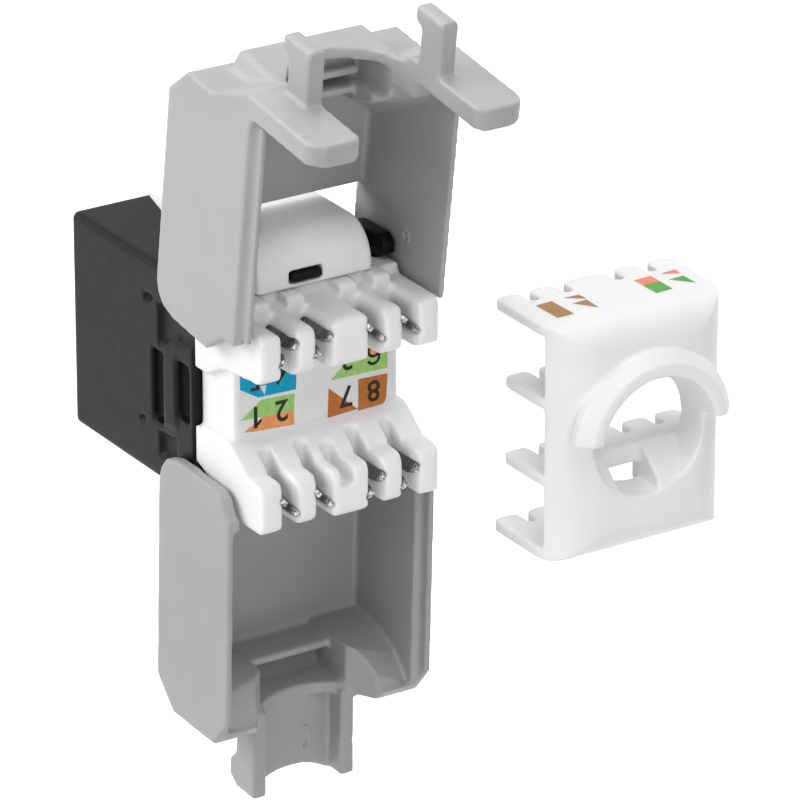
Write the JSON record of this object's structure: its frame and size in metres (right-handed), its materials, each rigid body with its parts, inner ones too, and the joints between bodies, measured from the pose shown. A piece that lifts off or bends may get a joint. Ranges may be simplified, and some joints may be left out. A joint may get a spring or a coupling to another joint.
{
  "type": "keystone jack",
  "caption": "Tool-free keystone jack with both grey flaps open, white terminal block, sprung latch and its wire cap taken off beside it.",
  "frame": {"origin": "centre of the plug mouth, in the plane of the front face", "axes": "+Y out of the plug mouth, -Y along the cable, +Z towards the latch, X across the width"},
  "size_m": [0.0322, 0.0388, 0.0604],
  "materials": {
    "black_plastic": "satin moulded",
    "dark_plastic": "matt",
    "white_plastic": "satin moulded",
    "grey_plastic": "satin moulded",
    "board": "lacquered",
    "label_film": "printed film",
    "gold_wire": "plated",
    "tinned_metal": "tinned"
  },
  "bodies": {
    "jack": {"housing": "black_plastic", "contact_insert": "dark_plastic", "circuit_board": "board", "terminal_block": "white_plastic", "wiring_label": "label_film", "wire_cap": "white_plastic", "spring_contact_1": "gold_wire", "spring_contact_2": "gold_wire", "spring_contact_3": "gold_wire", "spring_contact_4": "gold_wire", "spring_contact_5": "gold_wire", "spring_contact_6": "gold_wire", "spring_contact_7": "gold_wire", "spring_contact_8": "gold_wire", "idc_contact_1": "tinned_metal", "idc_contact_2": "tinned_metal", "idc_contact_3": "tinned_metal", "idc_contact_4": "tinned_metal", "idc_contact_5": "tinned_metal", "idc_contact_6": "tinned_metal", "idc_contact_7": "tinned_metal", "idc_contact_8": "tinned_metal"},
    "upper_flap": {"flap_upper": "grey_plastic"},
    "lower_flap": {"flap_lower": "grey_plastic"},
    "panel_latch": {"latch": "white_plastic"}
  },
  "joints": [
    {"name": "upper_flap_hinge", "type": "hinge", "parent": "jack", "child": "upper_flap", "pos_m": [0, -0.01675, 0.007], "axis": [1, 0, 0], "range_deg": [0, 82]},
    {"name": "lower_flap_hinge", "type": "hinge", "parent": "jack", "child": "lower_flap", "pos_m": [0, -0.01675, -0.007], "axis": [-1, 0, 0], "range_deg": [0, 92.3]},
    {"name": "latch_rock", "type": "hinge", "parent": "jack", "child": "panel_latch", "pos_m": [0, -0.0207, 0.0086], "axis": [-1, 0, 0], "range_deg": [0, 5], "stiffness_Nm_per_rad": 0.5}
  ]
}
